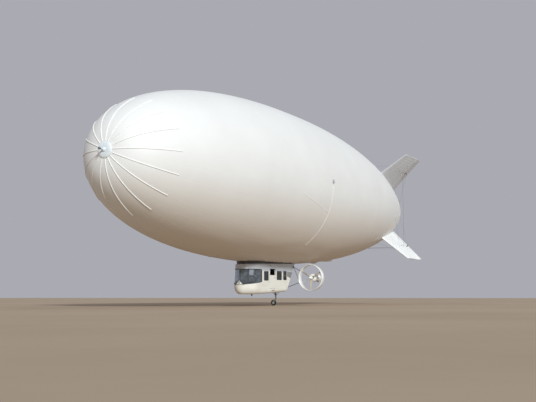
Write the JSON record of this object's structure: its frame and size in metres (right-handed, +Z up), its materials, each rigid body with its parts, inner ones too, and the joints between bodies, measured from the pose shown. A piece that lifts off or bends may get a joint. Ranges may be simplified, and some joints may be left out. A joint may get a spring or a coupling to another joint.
{
  "type": "non-rigid helium airship, 1:2 scale model",
  "caption": "Non-rigid helium airship with an X tail, a glazed cabin gondola, ring-shrouded propellers and a castering belly wheel, as a half-size model.",
  "frame": {"origin": "centre of buoyancy, on the hull axis, 12 m behind the tip of the nose at this scale", "axes": "+X forward along the hull axis, +Y to port, +Z up"},
  "size_m": [27.75, 6.84, 8.6],
  "materials": {
    "envelope_skin": "satin coated fabric",
    "fin_skin": "doped fabric over ribs",
    "panel_white": "painted composite",
    "panel_grey": "painted composite",
    "dark_metal": "satin paint",
    "pale_metal": "satin",
    "engine_metal": "cast",
    "glazing": "tinted acrylic",
    "tyre": "matt",
    "seat_cloth": "woven",
    "floor_cloth": "carpet",
    "dark_plastic": "matt",
    "blade": "painted composite"
  },
  "bodies": {
    "airship": {"envelope": "envelope_skin", "air_valve_front": "panel_grey", "air_valve_rear": "panel_grey", "gas_valve_port": "dark_metal", "gas_valve_starboard": "dark_metal", "nose_dish": "pale_metal", "mooring_spindle": "dark_metal", "nose_battens": "envelope_skin", "fin_port_upper": "fin_skin", "fin_port_lower": "fin_skin", "fin_starboard_upper": "fin_skin", "fin_starboard_lower": "fin_skin", "fin_stay_top": "dark_metal", "fin_stay_port": "dark_metal", "fin_stay_bottom": "dark_metal", "fin_stay_starboard": "dark_metal", "cabin_roof": "panel_grey", "cabin_side_port": "panel_white", "cabin_side_starboard": "panel_white", "cabin_tub": "panel_white", "windscreen_frame": "panel_grey", "cabin_bulkhead": "panel_grey", "suspension_saddle": "dark_metal", "windscreen_port": "glazing", "windscreen_starboard": "glazing", "window_front_port": "glazing", "window_middle_port": "glazing", "window_rear_port": "glazing", "window_front_starboard": "glazing", "window_middle_starboard": "glazing", "window_rear_starboard": "glazing", "cabin_floor": "floor_cloth", "pilot_seat_port": "seat_cloth", "pilot_seat_starboard": "seat_cloth", "bench_middle": "seat_cloth", "bench_rear": "seat_cloth", "seat_frame": "dark_metal", "instrument_panel": "dark_plastic", "belly_light": "dark_plastic", "engine_cowl_port": "panel_white", "engine_cowl_starboard": "panel_white", "shroud_port": "panel_white", "shroud_starboard": "panel_white", "engine_block_port": "engine_metal", "engine_block_starboard": "engine_metal", "engine_truss_port": "dark_metal", "engine_truss_starboard": "dark_metal", "gear_leg": "dark_metal"},
    "rudder_port_upper": {"rudder_port_upper": "fin_skin"},
    "rudder_port_lower": {"rudder_port_lower": "fin_skin"},
    "rudder_starboard_upper": {"rudder_starboard_upper": "fin_skin"},
    "rudder_starboard_lower": {"rudder_starboard_lower": "fin_skin"},
    "door_port": {"cabin_door_port": "panel_white"},
    "door_starboard": {"cabin_door_starboard": "panel_white"},
    "propeller_port": {"propeller_port": "blade"},
    "propeller_starboard": {"propeller_starboard": "blade"},
    "caster": {"gear_fork": "dark_metal"},
    "wheel": {"wheel_hub": "pale_metal", "tyre": "tyre"}
  },
  "joints": [
    {"name": "rudder_port_upper_hinge", "type": "hinge", "parent": "airship", "child": "rudder_port_upper", "pos_m": [-11.375, 2.08597, 2.08597], "axis": [0, 0.7071, 0.7071], "range_deg": [-25, 25]},
    {"name": "rudder_port_lower_hinge", "type": "hinge", "parent": "airship", "child": "rudder_port_lower", "pos_m": [-11.375, 2.08597, -2.08597], "axis": [0, 0.7071, -0.7071], "range_deg": [-25, 25]},
    {"name": "rudder_starboard_upper_hinge", "type": "hinge", "parent": "airship", "child": "rudder_starboard_upper", "pos_m": [-11.375, -2.08597, 2.08597], "axis": [0, -0.7071, 0.7071], "range_deg": [-25, 25]},
    {"name": "rudder_starboard_lower_hinge", "type": "hinge", "parent": "airship", "child": "rudder_starboard_lower", "pos_m": [-11.375, -2.08597, -2.08597], "axis": [0, -0.7071, -0.7071], "range_deg": [-25, 25]},
    {"name": "door_port_hinge", "type": "hinge", "parent": "airship", "child": "door_port", "pos_m": [1.552, 0.537, -3.96], "axis": [0, 0, -1], "range_deg": [0, 100]},
    {"name": "door_starboard_hinge", "type": "hinge", "parent": "airship", "child": "door_starboard", "pos_m": [1.552, -0.537, -3.96], "axis": [0, 0, 1], "range_deg": [0, 100]},
    {"name": "propeller_port_spin", "type": "hinge", "parent": "airship", "child": "propeller_port", "pos_m": [-1.135, 1.2, -3.975], "axis": [1, 0, 0], "continuous": true},
    {"name": "propeller_starboard_spin", "type": "hinge", "parent": "airship", "child": "propeller_starboard", "pos_m": [-1.135, -1.2, -3.975], "axis": [1, 0, 0], "continuous": true},
    {"name": "caster_swivel", "type": "hinge", "parent": "airship", "child": "caster", "pos_m": [0, 0, -4.85], "axis": [0, 0, 1], "continuous": true},
    {"name": "wheel_spin", "type": "hinge", "parent": "caster", "child": "wheel", "pos_m": [0, -0.11, -5.0975], "axis": [1, 0, 0], "continuous": true}
  ]
}
